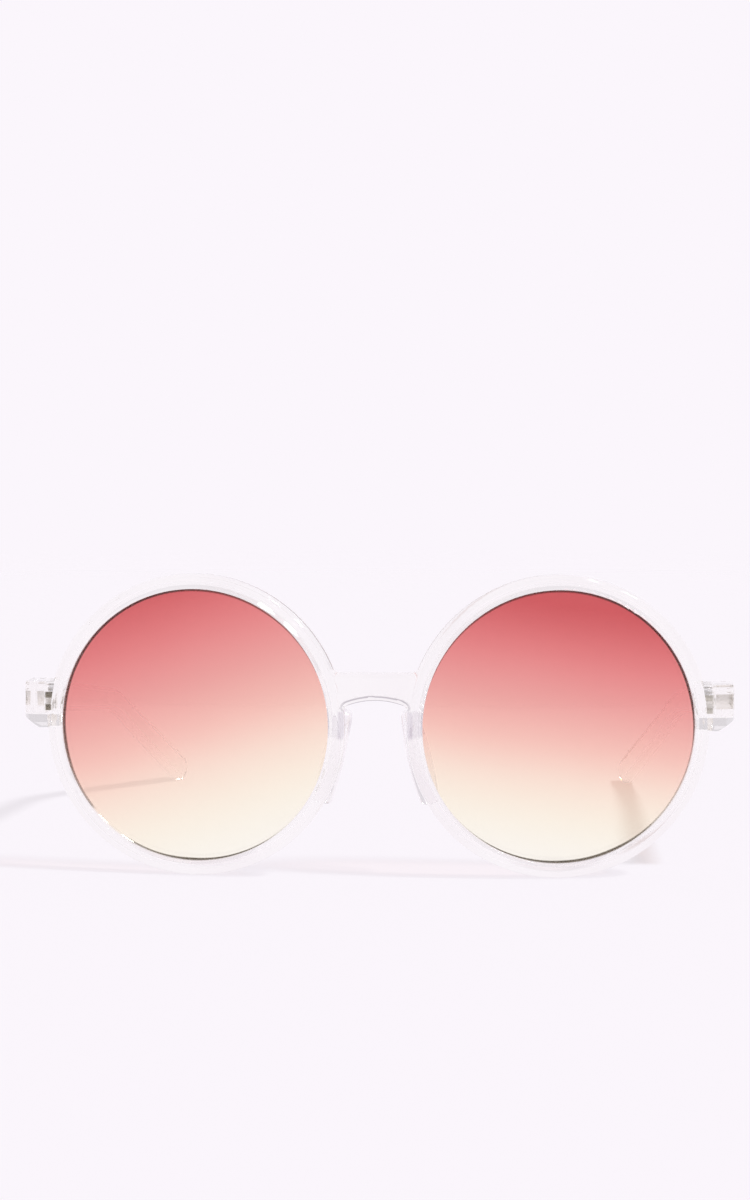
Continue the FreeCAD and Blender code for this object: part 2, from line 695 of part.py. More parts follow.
def make_nose_pad():
    """Oval pebble of clear plastic, hollowed to the rim that it is bonded to."""
    body = new_body("left_nose_pad")
    oval = body.newObject("Sketcher::SketchObject", "pad_outline")
    oval.AttachmentSupport = [(origin_part(body, "YZ_Plane"), "")]
    oval.MapMode = "FlatFace"
    x = "layout.lens_x - layout.pad_nasal * cos(dims.wrap_angle) - dims.pad_back * sin(dims.wrap_angle)"
    y = "layout.lens_y - layout.pad_nasal * sin(dims.wrap_angle) + dims.pad_back * cos(dims.wrap_angle)"
    z = "layout.lens_z - layout.pad_radius * sin(dims.pad_angle)"
    turn = "rotation(vector(0; 1; 0); -dims.pad_splay) * rotation(vector(1; 0; 0); -dims.pad_angle)"
    oval.setExpression("AttachmentOffset", f"placement(vector({y}; {z}; {x}); {turn})")
    draw_outline(oval, [
        ("layout.pad_turn_y", "-layout.pad_turn_z"),
        ("layout.pad_turn_y", "layout.pad_turn_z", "layout.pad_side_curve", "left"),
        ("-layout.pad_turn_y", "layout.pad_turn_z", "dims.pad_end_radius", "left"),
        ("-layout.pad_turn_y", "-layout.pad_turn_z", "layout.pad_side_curve", "left"),
    ])
    add_pad(body, "pebble", oval, "dims.pad_thickness", symmetric=True)
    round_edges(body, "pebble_edges", "dims.pad_round", lambda edge, middle, normals: True)

    section = new_sketch(body, "rim_seat_section", "XY_Plane", LENS_PLACE, "dims.wrap_angle")
    reach = "layout.rim_radius + dims.pad_bond"
    half = "layout.half_rim + dims.pad_bond"
    corner = "dims.rim_round + dims.pad_bond"
    draw_outline(section, [
        ("0", f"-({half})"),
        ("layout.rim_radius - dims.rim_round", f"-({half})"),
        (reach, "dims.rim_round - layout.half_rim", corner, "left"),
        (reach, "layout.half_rim - dims.rim_round"),
        ("layout.rim_radius - dims.rim_round", half, corner, "left"),
        ("0", half),
    ])
    cut_turned(body, "rim_seat", section)
    return body


def mirror_right(left):
    """The same piece on the wearer's right."""
    label = left.Label.replace("left", "right")
    right = doc.addObject("Part::Mirroring", label)
    right.Source = left
    right.Normal = X_AXIS
    return right


front_frame = make_front_frame()
left_pieces = [
    make_lens(),
    make_nose_pad(),
    make_front_leaf(),
    make_hinge_screw(),
    make_temple(),
    make_temple_leaf(),
]
pieces = [front_frame] + left_pieces + [mirror_right(piece) for piece in left_pieces]
doc.recompute()

for item in doc.Objects:
    if "Invalid" in item.State or "Error" in item.State:
        raise RuntimeError(f"{item.Label} did not build: {item.getStatusString()}")
for piece in pieces:
    if piece.Shape.isNull() or not piece.Shape.isValid() or len(piece.Shape.Solids) != 1:
        raise RuntimeError(f"{piece.Label} is not one sound solid")

os.makedirs("parts", exist_ok=True)
for piece in pieces:
    piece.Shape.exportStep(f"parts/{piece.Label}.step")
    print(piece.Label, f"{piece.Shape.Volume:.1f} mm3")
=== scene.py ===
import math

import bpy
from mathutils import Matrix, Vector


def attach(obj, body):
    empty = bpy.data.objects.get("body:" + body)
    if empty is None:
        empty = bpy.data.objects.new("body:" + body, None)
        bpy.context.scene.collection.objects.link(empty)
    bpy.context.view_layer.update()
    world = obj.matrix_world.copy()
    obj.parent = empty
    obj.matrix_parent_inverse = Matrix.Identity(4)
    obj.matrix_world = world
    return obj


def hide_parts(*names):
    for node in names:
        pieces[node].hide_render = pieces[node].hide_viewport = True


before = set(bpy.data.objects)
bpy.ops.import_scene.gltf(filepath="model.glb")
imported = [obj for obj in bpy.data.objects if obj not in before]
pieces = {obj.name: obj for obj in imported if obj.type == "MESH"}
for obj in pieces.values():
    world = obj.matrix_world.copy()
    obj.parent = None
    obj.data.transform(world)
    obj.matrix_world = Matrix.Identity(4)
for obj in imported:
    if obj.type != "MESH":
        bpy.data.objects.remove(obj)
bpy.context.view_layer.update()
print("frame loaded:", len(pieces), "pieces")

scene = bpy.context.scene
scene.view_settings.view_transform = "Standard"

sides = {"left": 1, "right": -1}  # the wearer's, and where each lies along x
white = (1, 1, 1, 1)
samePlace = 1e-7  # m, points this close are one point


def shade(red, green, blue):
    # a screen colour, 0 to 255, as the linear colour that nodes take
    def straighten(value):
        value /= 255
        return value / 12.92 if value <= 0.04045 else ((value + 0.055) / 1.055) ** 2.4
    return straighten(red), straighten(green), straighten(blue), 1.0


def addNode(tree, kind, column, row, sockets={}, **properties):
    node = tree.nodes.new(kind)
    node.location = (column * 200, -row * 200)
    for name, value in properties.items():
        setattr(node, name, value)
    for name, value in sockets.items():
        node.inputs[name].default_value = value
    return node


def feed(tree, values, sockets):
    # each value is another node's output, or a plain number, vector or colour
    for value, socket in zip(values, sockets):
        if isinstance(value, bpy.types.NodeSocket):
            tree.links.new(value, socket)
        else:
            socket.default_value = value


def maths(tree, operation, column, row, *values):
    node = addNode(tree, "ShaderNodeMath", column, row, operation=operation)
    feed(tree, values, node.inputs)
    return node.outputs[0]


def vectorMaths(tree, operation, column, row, *values):
    node = addNode(tree, "ShaderNodeVectorMath", column, row, operation=operation)
    feed(tree, values, node.inputs)
    return node.outputs["Value" if operation in ("DOT_PRODUCT", "LENGTH") else "Vector"]


def splitVector(tree, column, row, vector):
    node = addNode(tree, "ShaderNodeSeparateXYZ", column, row)
    tree.links.new(vector, node.inputs[0])
    return node.outputs


def mapValue(tree, column, row, value, span, levels=(0.0, 1.0), smooth=False, clamp=True):
    # carries the span of a value over to other levels
    kind = "SMOOTHSTEP" if smooth else "LINEAR"
    node = addNode(tree, "ShaderNodeMapRange", column, row, interpolation_type=kind, clamp=clamp, sockets={
        "From Min": span[0], "From Max": span[1], "To Min": levels[0], "To Max": levels[1]})
    tree.links.new(value, node.inputs["Value"])
    return node.outputs["Result"]


def mixColours(tree, column, row, share, first, second, blend="MIX"):
    node = addNode(tree, "ShaderNodeMix", column, row, data_type="RGBA", blend_type=blend)
    feed(tree, (share, first, second), (node.inputs[0], node.inputs[6], node.inputs[7]))
    return node.outputs[2]


def mixValues(tree, column, row, share, first, second):
    node = addNode(tree, "ShaderNodeMix", column, row, data_type="FLOAT")
    feed(tree, (share, first, second), (node.inputs[0], node.inputs[2], node.inputs[3]))
    return node.outputs[0]


def mixShaders(tree, column, share, first, second):
    node = addNode(tree, "ShaderNodeMixShader", column, 0)
    feed(tree, (share, first, second), node.inputs)
    return node.outputs[0]


def addNoise(tree, column, row, place, scale, detail, sockets={}):
    node = addNode(tree, "ShaderNodeTexNoise", column, row, sockets)
    feed(tree, (place, scale, detail), (node.inputs["Vector"], node.inputs["Scale"], node.inputs["Detail"]))
    return node.outputs["Fac"]


def addBump(tree, column, row, height, strength, depth, invert=False):
    node = addNode(tree, "ShaderNodeBump", column, row, invert=invert, sockets={
        "Strength": strength, "Distance": depth})
    tree.links.new(height, node.inputs["Height"])
    return node


def toneRamp(tree, column, row, value, places, colours, interpolation="LINEAR"):
    node = addNode(tree, "ShaderNodeValToRGB", column, row)
    node.color_ramp.interpolation = interpolation
    stops = node.color_ramp.elements
    while len(stops) < len(places):
        stops.new(0.5)
    for stop, where, colour in zip(stops, places, colours):
        stop.position = where
        stop.color = shade(*colour)
    tree.links.new(value, node.inputs["Fac"])
    return node.outputs["Color"]


def addBody(tree, column, colour, roughness, normal, sockets):
    node = addNode(tree, "ShaderNodeBsdfPrincipled", column, 0, sockets)
    feed(tree, (colour, roughness, normal),
         (node.inputs["Base Color"], node.inputs["Roughness"], node.inputs["Normal"]))
    return node.outputs[0]


def showShader(tree, column, shader):
    out = addNode(tree, "ShaderNodeOutputMaterial", column, 0)
    tree.links.new(shader, out.inputs["Surface"])


def newMaterial(name):
    # gives the Object coordinates too
    material = bpy.data.materials.new(name)
    material.use_nodes = True
    tree = material.node_tree
    tree.nodes.clear()
    return material, tree, addNode(tree, "ShaderNodeTexCoord", 0, 0).outputs["Object"]


def newGroup(name, inputs, outputs):
    # inputs are (name, starting value), and a value of None makes a vector socket
    group = bpy.data.node_groups.new(name, "ShaderNodeTree")
    for socketName, value in inputs:
        kind = "NodeSocketVector" if value is None else "NodeSocketFloat"
        socket = group.interface.new_socket(socketName, in_out="INPUT", socket_type=kind)
        if value is not None:
            socket.default_value = value
    for socketName in outputs:
        group.interface.new_socket(socketName, in_out="OUTPUT", socket_type="NodeSocketFloat")
    given = addNode(group, "NodeGroupInput", 0, 0)
    return group, given.outputs, addNode(group, "NodeGroupOutput", 9, 0).inputs


def useGroup(tree, column, row, group, place, sockets):
    node = addNode(tree, "ShaderNodeGroup", column, row, sockets, node_tree=group)
    tree.links.new(place, node.inputs["Place"])
    return node.outputs


def dress(piece, material):
    piece.data.materials.clear()
    piece.data.materials.append(material)


studio = {
    "backdrop": (251, 246, 252),  # pale lavender white
    "floor": (251, 246, 252),
    "floorRoughness": 0.9,
    "floorSize": 4.0,  # m
    "floorFade": (0.45, 1.3),  # m from the middle, where the floor melts into the backdrop
    "fill": 0.63,  # even light that the room gives
    "roomLevel": 0.78,  # how bright the room behind the camera looks in reflections
    "roomFrom": (-0.75, 0.1),  # y of a direction, from the room to the plain backdrop
    "ceilingLevel": 0.9,  # and the ceiling
    "ceilingFrom": (0.35, 0.8),  # z of a direction, from the plain backdrop to the ceiling
    # windows on the wearer's left: where from, how strong, and whether the left temple is its only blocker
    "windows": (((0.85, -0.3, 1.0), 0.62, False), ((0.46, -0.2, 1.0), 0.78, True)),
    "windowSoftness": 7,  # degrees across
}


def buildWorld():
    world = bpy.data.worlds.new("studio")
    scene.world = world
    world.use_nodes = True
    tree = world.node_tree
    tree.nodes.clear()
    heading = splitVector(tree, 1, 0, addNode(tree, "ShaderNodeTexCoord", 0, 0).outputs["Generated"])
    behind = mapValue(tree, 2, 0, heading["Y"], studio["roomFrom"], (studio["roomLevel"], 1.0), smooth=True)
    above = mapValue(
        tree, 2, 1, heading["Z"], studio["ceilingFrom"], (1.0, studio["ceilingLevel"]), smooth=True)
    mirrored = maths(tree, "MULTIPLY", 3, 0, behind, above)
    # clear plastic and metal see the room, other surfaces only take its even light
    ray = addNode(tree, "ShaderNodeLightPath", 2, 3).outputs
    glassy = maths(tree, "MAXIMUM", 3, 3, ray["Is Glossy Ray"], ray["Is Transmission Ray"])
    level = mixValues(tree, 4, 0, glassy, studio["fill"], mirrored)
    seen = mixValues(tree, 5, 0, ray["Is Camera Ray"], level, 1.0)
    # the light itself is neutral, and only what is seen of the room has the backdrop's colour
    shown = maths(tree, "MAXIMUM", 4, 3, glassy, ray["Is Camera Ray"])
    colour = mixColours(tree, 5, 3, shown, white, shade(*studio["backdrop"]))
    glow = addNode(tree, "ShaderNodeBackground", 6, 0)
    feed(tree, (colour, seen), (glow.inputs["Color"], glow.inputs["Strength"]))
    out = addNode(tree, "ShaderNodeOutputWorld", 7, 0)
    tree.links.new(glow.outputs[0], out.inputs["Surface"])


def buildFloor():
    bpy.ops.object.select_all(action="DESELECT")
    bpy.ops.mesh.primitive_plane_add(size=studio["floorSize"])
    floor = bpy.context.object
    floor.name = "studioFloor"
    material, tree, place = newMaterial("studioFloor")
    far = vectorMaths(tree, "LENGTH", 1, 0, place)
    fade = mapValue(tree, 2, 0, far, studio["floorFade"], smooth=True)
    paper = addNode(tree, "ShaderNodeBsdfPrincipled", 2, 1, sockets={
        "Base Color": shade(*studio["floor"]), "Roughness": studio["floorRoughness"],
        "Specular IOR Level": 0.0})
    clear = addNode(tree, "ShaderNodeBsdfTransparent", 2, 3)
    showShader(tree, 4, mixShaders(tree, 3, fade, paper.outputs[0], clear.outputs[0]))
    dress(floor, material)


def buildLamps(nearTemple, others):
    # the windows are close, so the temples' shadows fall at different slants
    for source, strength, nearOnly in studio["windows"]:
        lamp = bpy.data.lights.new("windowLight", "SUN")
        lamp.energy = strength
        lamp.angle = math.radians(studio["windowSoftness"])
        sun = bpy.data.objects.new("windowLight", lamp)
        sun.rotation_euler = Vector(source).to_track_quat("Z", "Y").to_euler()
        scene.collection.objects.link(sun)
        blockers = bpy.data.collections.new("windowBlockers")
        for piece in nearTemple if nearOnly else others:
            blockers.objects.link(piece)
        sun.light_linking.blocker_collection = blockers


view = {
    "place": (0.02597, -0.60723, 0.09734),  # m
    "turn": 2.794,  # degrees to the left
    "dip": 4.085,  # degrees down
    "focalLength": 76.6,  # mm, on a sensor 36 mm tall
    "sensor": 36.0,
    "nearest": 0.01,  # m
}


def buildCamera():
    camera = bpy.data.cameras.new("photoCamera")
    camera.sensor_fit = "VERTICAL"
    camera.sensor_height = view["sensor"]
    camera.lens = view["focalLength"]
    camera.clip_start = view["nearest"]
    stand = bpy.data.objects.new("photoCamera", camera)
    stand.location = view["place"]
    stand.rotation_euler = (math.radians(90 - view["dip"]), 0, math.radians(view["turn"]))
    scene.collection.objects.link(stand)
    scene.camera = stand


buildWorld()
buildFloor()
buildCamera()
print("studio and camera set")


lens = {
    "seat": (0.038534, -0.069463, 0.0322),  # m, middle of the left lens in its rim
    "wrap": 7.0,  # degrees that each lens turns outwards
    "frontCurve": 0.130,  # radius of each face
    "backCurve": 0.128,
    "radius": 0.02895,
    "edge": 0.0010,  # half of the thickness at the radius
    "tongueRadius": 0.02985,  # the bevel that sits in the groove
    "tongueEdge": 0.00015,
    "tongueRings": 2,  # rings of points between the faces
    "ringFrom": 0.99,  # share of the radius past which a point belongs to them
    "segments": 192,
    "rings": 260,
    "smoothUpTo": 25,  # degrees
}


def lensCap(curve, edge, name):
    # the part of a large ball that makes one face, edge at its height, with the dome to +Z
    drop = math.sqrt(curve ** 2 - lens["radius"] ** 2)
    bpy.ops.mesh.primitive_uv_sphere_add(
        segments=lens["segments"], ring_count=lens["rings"], radius=curve, location=(0, 0, edge - drop))
    cap = bpy.context.object
    bpy.ops.object.transform_apply(location=True, rotation=False, scale=False)
    bpy.ops.object.mode_set(mode="EDIT")
    bpy.ops.mesh.select_all(action="SELECT")
    bpy.ops.mesh.bisect(plane_co=(0, 0, edge), plane_no=(0, 0, 1), clear_inner=True, threshold=samePlace)
    bpy.ops.object.mode_set(mode="OBJECT")
    cap.name = name
    return cap


def selectRing(piece, low, high):
    # picks the points of the edge whose height lies between the two levels
    bpy.ops.object.mode_set(mode="OBJECT")
    for part in (piece.data.vertices, piece.data.edges, piece.data.polygons):
        part.foreach_set("select", [False] * len(part))
    outer = lens["radius"] * lens["ringFrom"]
    for point in piece.data.vertices:
        point.select = low < point.co.z < high and point.co.xy.length > outer
    bpy.context.tool_settings.mesh_select_mode = (True, False, False)
    bpy.ops.object.mode_set(mode="EDIT")


def buildLens():
    # both faces, then the bevelled tongue that joins them
    bpy.ops.object.select_all(action="DESELECT")
    back = lensCap(lens["backCurve"], -lens["edge"], "backFace")
    bpy.ops.object.select_all(action="DESELECT")
    front = lensCap(lens["frontCurve"], lens["edge"], "frontFace")
    bpy.ops.object.select_all(action="DESELECT")
    back.select_set(True)
    front.select_set(True)
    bpy.context.view_layer.objects.active = front
    bpy.ops.object.join()
    bpy.ops.object.mode_set(mode="EDIT")
    bpy.ops.mesh.select_mode(type="EDGE")
    bpy.ops.mesh.select_all(action="DESELECT")
    bpy.ops.mesh.select_non_manifold()
    bpy.ops.mesh.bridge_edge_loops(number_cuts=lens["tongueRings"])
    selectRing(front, -lens["edge"] / 2, lens["edge"] / 2)
    widen = lens["tongueRadius"] / lens["radius"]
    flatten = lens["tongueEdge"] / (lens["edge"] / (lens["tongueRings"] + 1))
    bpy.ops.transform.resize(value=(widen, widen, flatten), center_override=(0, 0, 0))
    bpy.ops.mesh.select_all(action="SELECT")
    bpy.ops.mesh.normals_make_consistent(inside=False)
    bpy.ops.object.mode_set(mode="OBJECT")
    bpy.ops.object.shade_smooth_by_angle(angle=math.radians(lens["smoothUpTo"]))
    return front


def placeLens(blank, side):
    # each lens is a copy of the blank, turned into its rim
    piece = blank.copy()
    piece.data = blank.data.copy()
    piece.name = f"{side}RoseLens"
    scene.collection.objects.link(piece)
    x, y, z = lens["seat"]
    piece.location = (sides[side] * x, y, z)
    piece.rotation_euler = (math.radians(90), 0, math.radians(sides[side] * lens["wrap"]))
    bpy.ops.object.select_all(action="DESELECT")
    piece.select_set(True)
    bpy.context.view_layer.objects.active = piece
    bpy.ops.object.transform_apply(location=True, rotation=True, scale=True)
    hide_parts(f"{side}_lens")
    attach(piece, "front")
    return piece


blank = buildLens()
lenses = {side: placeLens(blank, side) for side in sides}
bpy.data.objects.remove(blank)
print("lenses modelled")


hardware = {
    "leafBevel": 0.00007,  # m, tumbled edges
    "screwBevel": 0.00004,
    "bevelSegments": 2,
    "bevelFrom": 32,  # degrees, edges flatter than this stay
    "flatWithin": 1,  # degrees, faces that are joined again first
}


def bevelledCopy(node, body, width):
    # a welded copy of a solid, with its sharp edges broken
    source = pieces[node]
    piece = source.copy()
    piece.data = source.data.copy()
    words = node.split("_")
    piece.name = words[0] + "".join(word.title() for word in words[1:])
    scene.collection.objects.link(piece)
    bpy.ops.object.select_all(action="DESELECT")
    piece.select_set(True)
    bpy.context.view_layer.objects.active = piece
    bpy.ops.mesh.customdata_custom_splitnormals_clear()
    bpy.ops.object.mode_set(mode="EDIT")
    bpy.ops.mesh.select_all(action="SELECT")
    bpy.ops.mesh.remove_doubles(threshold=samePlace)
    bpy.ops.mesh.dissolve_limited(angle_limit=math.radians(hardware["flatWithin"]))
    bpy.ops.object.mode_set(mode="OBJECT")
    bevel = piece.modifiers.new("brokenEdges", "BEVEL")
    bevel.width = width
    bevel.segments = hardware["bevelSegments"]
    bevel.limit_method = "ANGLE"
    bevel.angle_limit = math.radians(hardware["bevelFrom"])
    bpy.ops.object.modifier_apply(modifier=bevel.name)
    bpy.ops.object.shade_smooth_by_angle(angle=math.radians(hardware["bevelFrom"]))
    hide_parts(node)
    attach(piece, body)
    return piece


leaves = {}
screws = {}
for side in sides:
    leaves[side] = (
        bevelledCopy(f"{side}_front_hinge_leaf", "front", hardware["leafBevel"]),
        bevelledCopy(f"{side}_temple_hinge_leaf", f"{side}_temple", hardware["leafBevel"]))
    screws[side] = bevelledCopy(f"{side}_hinge_screw", "front", hardware["screwBevel"])
print("hinges modelled")


wear = {
    "smudgeFrom": (0.5, 0.72),  # where a wide noise begins to show as smudges
    "smudgeRoughness": 0.6,  # how ragged their outlines are
    "slants": (0.5, -0.9),  # radians, of the two sets of hairlines
    "roll": 0.2,
    "drawnOut": (1.0, 0.2, 0.03),  # scale of the hairlines' noise along each axis
    "hairlineFrom": (0.66, 0.74),
}


def handlingMarks():
    # smudges left by fingers and hairline scratches, both from 0 to 1
    group, given, out = newGroup(
        "handlingMarks", (("Place", None), ("Smudge Scale", 70.0), ("Scratch Scale", 900.0)),
        ("Smudge", "Scratch"))
    wide = addNoise(group, 2, 0, given["Place"], given["Smudge Scale"], detail=3.0, sockets={
        "Roughness": wear["smudgeRoughness"]})
    group.links.new(mapValue(group, 3, 0, wide, wear["smudgeFrom"], smooth=True), out["Smudge"])
    hairlines = []
    for row, slant in enumerate(wear["slants"], 1):
        turned = addNode(group, "ShaderNodeMapping", 1, row, sockets={
            "Rotation": (wear["roll"], slant, slant / 2), "Scale": wear["drawnOut"]})
        group.links.new(given["Place"], turned.inputs["Vector"])
        streak = addNoise(group, 2, row, turned.outputs["Vector"], given["Scratch Scale"], detail=1.0)
        hairlines.append(mapValue(group, 3, row, streak, wear["hairlineFrom"]))
    group.links.new(maths(group, "MAXIMUM", 4, 1, *hairlines), out["Scratch"])
    return group


def dustSpecks():
    # a few round specks, kept in only some cells of a cell pattern
    group, given, out = newGroup(
        "dustSpecks", (("Place", None), ("Scale", 240.0), ("Size", 0.05), ("Share", 0.1)), ("Speck",))
    cells = addNode(group, "ShaderNodeTexVoronoi", 1, 0)
    feed(group, (given["Place"], given["Scale"]), (cells.inputs["Vector"], cells.inputs["Scale"]))
    near = maths(group, "LESS_THAN", 2, 0, cells.outputs["Distance"], given["Size"])
    lot = addNode(group, "ShaderNodeSeparateColor", 2, 1)
    group.links.new(cells.outputs["Color"], lot.inputs[0])
    kept = maths(group, "LESS_THAN", 3, 1, lot.outputs[0], given["Share"])
    group.links.new(maths(group, "MULTIPLY", 4, 0, near, kept), out["Speck"])
    return group


marksGroup = handlingMarks()
dustGroup = dustSpecks()


def roughnessFrom(tree, column, row, marks, specks, polish):
    # the roughness of a clean spot, which smudges, scratches and specks raise
    most = maths(tree, "MAXIMUM", column, row, marks["Smudge"], marks["Scratch"])
    level = mapValue(tree, column + 1, row, most, (0.0, 1.0), polish)
    return maths(tree, "MAXIMUM", column + 2, row, level, specks["Speck"])


def tintWhere(tree, column, colour, tint, limits):
    # mixes in a tint where every value is past its limits, each given as (none, full)
    mask = None
    for row, (value, span) in enumerate(limits, 6):
        part = mapValue(tree, column, row, value, span, smooth=True)
        mask = part if mask is None else maths(tree, "MULTIPLY", column + 1, row, mask, part)
    return mixColours(tree, column + 2, 6, mask, colour, shade(*tint))


deepest = 3  # bounces after which light that is caught inside the plastic leaves it


def finishGlass(tree, column, shader, shadow):
    # light on its way to the floor goes straight through, and only the windows' shadows take a tint
    ray = addNode(tree, "ShaderNodeLightPath", column, 3).outputs
    lighting = maths(tree, "MAXIMUM", column + 1, 3, ray["Is Shadow Ray"], ray["Is Diffuse Ray"])
    caught = maths(tree, "GREATER_THAN", column + 1, 5, ray["Ray Depth"], deepest)
    either = maths(tree, "MAXIMUM", column + 2, 3, lighting, caught)
    stain = mixColours(tree, column + 1, 6, ray["Is Shadow Ray"], white, shade(*shadow))
    through = addNode(tree, "ShaderNodeBsdfTransparent", column + 2, 4)
    tree.links.new(stain, through.inputs["Color"])
    showShader(tree, column + 4, mixShaders(tree, column + 3, either, shader, through.outputs[0]))


clearPlastic = {
    "ior": 1.49,
    "flowScale": 38.0,  # per m
    "flowTwist": 0.6,
    "wave": (1.0, 0.00002),  # strength, and depth in m
    "cloudFrom": (0.35, 0.75),  # where in the flow it is clear and where cloudy
    "scratch": (0.25, 0.00001),
    "polish": (0.0, 0.09),  # roughness of a clean and of a handled spot
    "marks": {"Smudge Scale": 90.0, "Scratch Scale": 700.0},
    "dust": {"Scale": 260.0, "Size": 0.04, "Share": 0.12},
}
# clear, cloudy where the melt flowed slower, and the tint of the shadow, with painted grey shade for a few
# places
plasticTints = {
    "front": {
        "clear": (255, 255, 253), "cloudy": (252, 250, 249), "shadow": (222, 218, 221),
        # painted shade: two grey lines along the bridge's lower edge, by how far it faces down, and where
        # they end in m
        "archShadeLine": (165, 160, 166),
        "archFacings": (((-0.05, -0.14), (-0.4, -0.3)), ((-0.74, -0.84), (-0.995, -0.97))),
        "archAside": (0.0086, 0.006), "archHeight": (0.03, 0.032),
        # painted grey shade on the edge of the rim in front of each pad, m
        "padSeatShade": (214, 209, 216),
        "seatHeights": ((0.0292, 0.0306), (0.036, 0.0354)),
        "seatAside": ((0.0058, 0.0063), (0.0081, 0.0076))},
    "rightTemple": {"clear": (255, 254, 253), "cloudy": (250, 248, 248), "shadow": (172, 165, 167)},
    "leftTemple": {"clear": (255, 254, 253), "cloudy": (250, 248, 248), "shadow": (199, 157, 89)},
    "pad": {
        "clear": (254, 253, 253), "cloudy": (249, 247, 248), "shadow": (240, 237, 240),
        # painted grey shade on its upper part, away from the nose, m
        "grey": (228, 224, 229), "greyHeight": (0.0292, 0.0306), "greyAside": (0.0068, 0.0078)},
}


def plasticColour(tree, place, flow, part):
    tint = plasticTints[part]
    colour = toneRamp(tree, 2, 0, flow, clearPlastic["cloudFrom"], (tint["clear"], tint["cloudy"]))
    split = splitVector(tree, 1, 6, place)
    height = split["Z"]
    aside = maths(tree, "ABSOLUTE", 2, 6, split["X"])
    # painted grey shade on the pad's upper part
    if part == "pad":
        colour = tintWhere(tree, 3, colour, tint["grey"], (
            (height, tint["greyHeight"]), (aside, tint["greyAside"])))
    if part == "front":
        normal = addNode(tree, "ShaderNodeNewGeometry", 1, 7).outputs["Normal"]
        facing = splitVector(tree, 2, 7, normal)["Z"]
        # painted shade lines where the bridge's lower edge faces down
        for outer, inner in tint["archFacings"]:
            colour = tintWhere(tree, 3, colour, tint["archShadeLine"], (
                (facing, outer), (facing, inner), (aside, tint["archAside"]), (height, tint["archHeight"])))
        # painted grey shade on the rim in front of each pad
        limits = [(height, span) for span in tint["seatHeights"]]
        limits += [(aside, span) for span in tint["seatAside"]]
        colour = tintWhere(tree, 3, colour, tint["padSeatShade"], limits)
    return colour


def clearPlasticMaterial(part):
    material, tree, place = newMaterial(f"clearPlastic_{part}")
    flow = addNoise(tree, 1, 0, place, clearPlastic["flowScale"], detail=2.0, sockets={
        "Distortion": clearPlastic["flowTwist"]})
    colour = plasticColour(tree, place, flow, part)
    marks = useGroup(tree, 1, 2, marksGroup, place, clearPlastic["marks"])
    specks = useGroup(tree, 1, 3, dustGroup, place, clearPlastic["dust"])
    roughness = roughnessFrom(tree, 2, 4, marks, specks, clearPlastic["polish"])
    wave = addBump(tree, 3, 2, flow, *clearPlastic["wave"])
    scratch = addBump(tree, 4, 2, marks["Scratch"], *clearPlastic["scratch"], invert=True)
    tree.links.new(wave.outputs["Normal"], scratch.inputs["Normal"])
    body = addBody(tree, 6, colour, roughness, scratch.outputs["Normal"], {
        "IOR": clearPlastic["ior"], "Transmission Weight": 1.0})
    finishGlass(tree, 7, body, plasticTints[part]["shadow"])
    return material


lensTint = {
    # from the bottom to the top of the lens
    "stops": (0.0, 0.16, 0.32, 0.46, 0.62, 0.8, 1.0),
    "colours": ((255, 255, 243), (255, 251, 230), (254, 233, 213), (251, 199, 184), (240, 167, 160),
                (236, 133, 132), (205, 76, 80)),
    "span": (-0.0285, 0.0285),  # m from the middle
    "tilt": {"left": 8.5, "right": -17.5},  # degrees
    "reach": {"left": (-0.021, 1.035), "right": (0.0, 0.934)},  # part of the stops that each lens has
    "cloudScale": 30.0,  # per m
    "cloudDrift": 0.03,  # how far the dye bath shifts the gradient
    "edgeShade": (100, 92, 82),  # painted shade: a dark line along the lens's edge, in the colour of the lens
    "edgeFrom": (0.02835, 0.0286),  # m from the lens's axis
    "edgeFade": (-0.95, -0.25),  # the painted shade thins out towards the nose, -1 is the side by the nose
    "edgeLean": 17,  # degrees that the thinnest place lies below the middle
    "edgeGap": {"left": 334, "right": 229},  # degrees from +x, where it is thin too
    "gapReach": (42, 13),  # degrees from there, where it is whole and where it is thinnest
    "gapLeft": {"left": 0.22, "right": 0.32},  # what is left of it
    "edgeBreak": {"right": (11, 8)},  # degrees from there, between which it ends
    "edgeThin": 0.00042,  # m that a thin stretch loses
    "edgePale": 0.3,  # a stretch with less than this left is paler too
    "tongueFrom": (0.02896, 0.02902),  # m from the axis, past which the bevel is left undyed
    "tongue": (255, 253, 252),
    "ior": 1.5,
    "shadow": (253, 241, 239),
    "polish": (0.0, 0.05),
    "scratch": (0.15, 0.00001),  # strength, and depth in m
    "marks": {"Smudge Scale": 55.0, "Scratch Scale": 500.0},
    "dust": {"Scale": 150.0, "Size": 0.03, "Share": 0.06},
    "speckColour": (255, 246, 244),
}


def cosines(angles):
    return [math.cos(math.radians(angle)) for angle in angles]


def lensDye(tree, place, local, side):
    # the gradient runs along a line that leans out at the top, and is a little uneven
    tilt = math.radians(lensTint["tilt"][side])
    along = vectorMaths(tree, "DOT_PRODUCT", 2, 0, local, (math.sin(tilt), 0, math.cos(tilt)))
    share = mapValue(tree, 3, 0, along, lensTint["span"], lensTint["reach"][side], clamp=False)
    cloud = addNoise(tree, 2, 1, place, lensTint["cloudScale"], detail=2.0)
    drift = maths(tree, "MULTIPLY_ADD", 3, 1, cloud, lensTint["cloudDrift"], share)
    return toneRamp(tree, 4, 0, drift, lensTint["stops"], lensTint["colours"], "B_SPLINE")


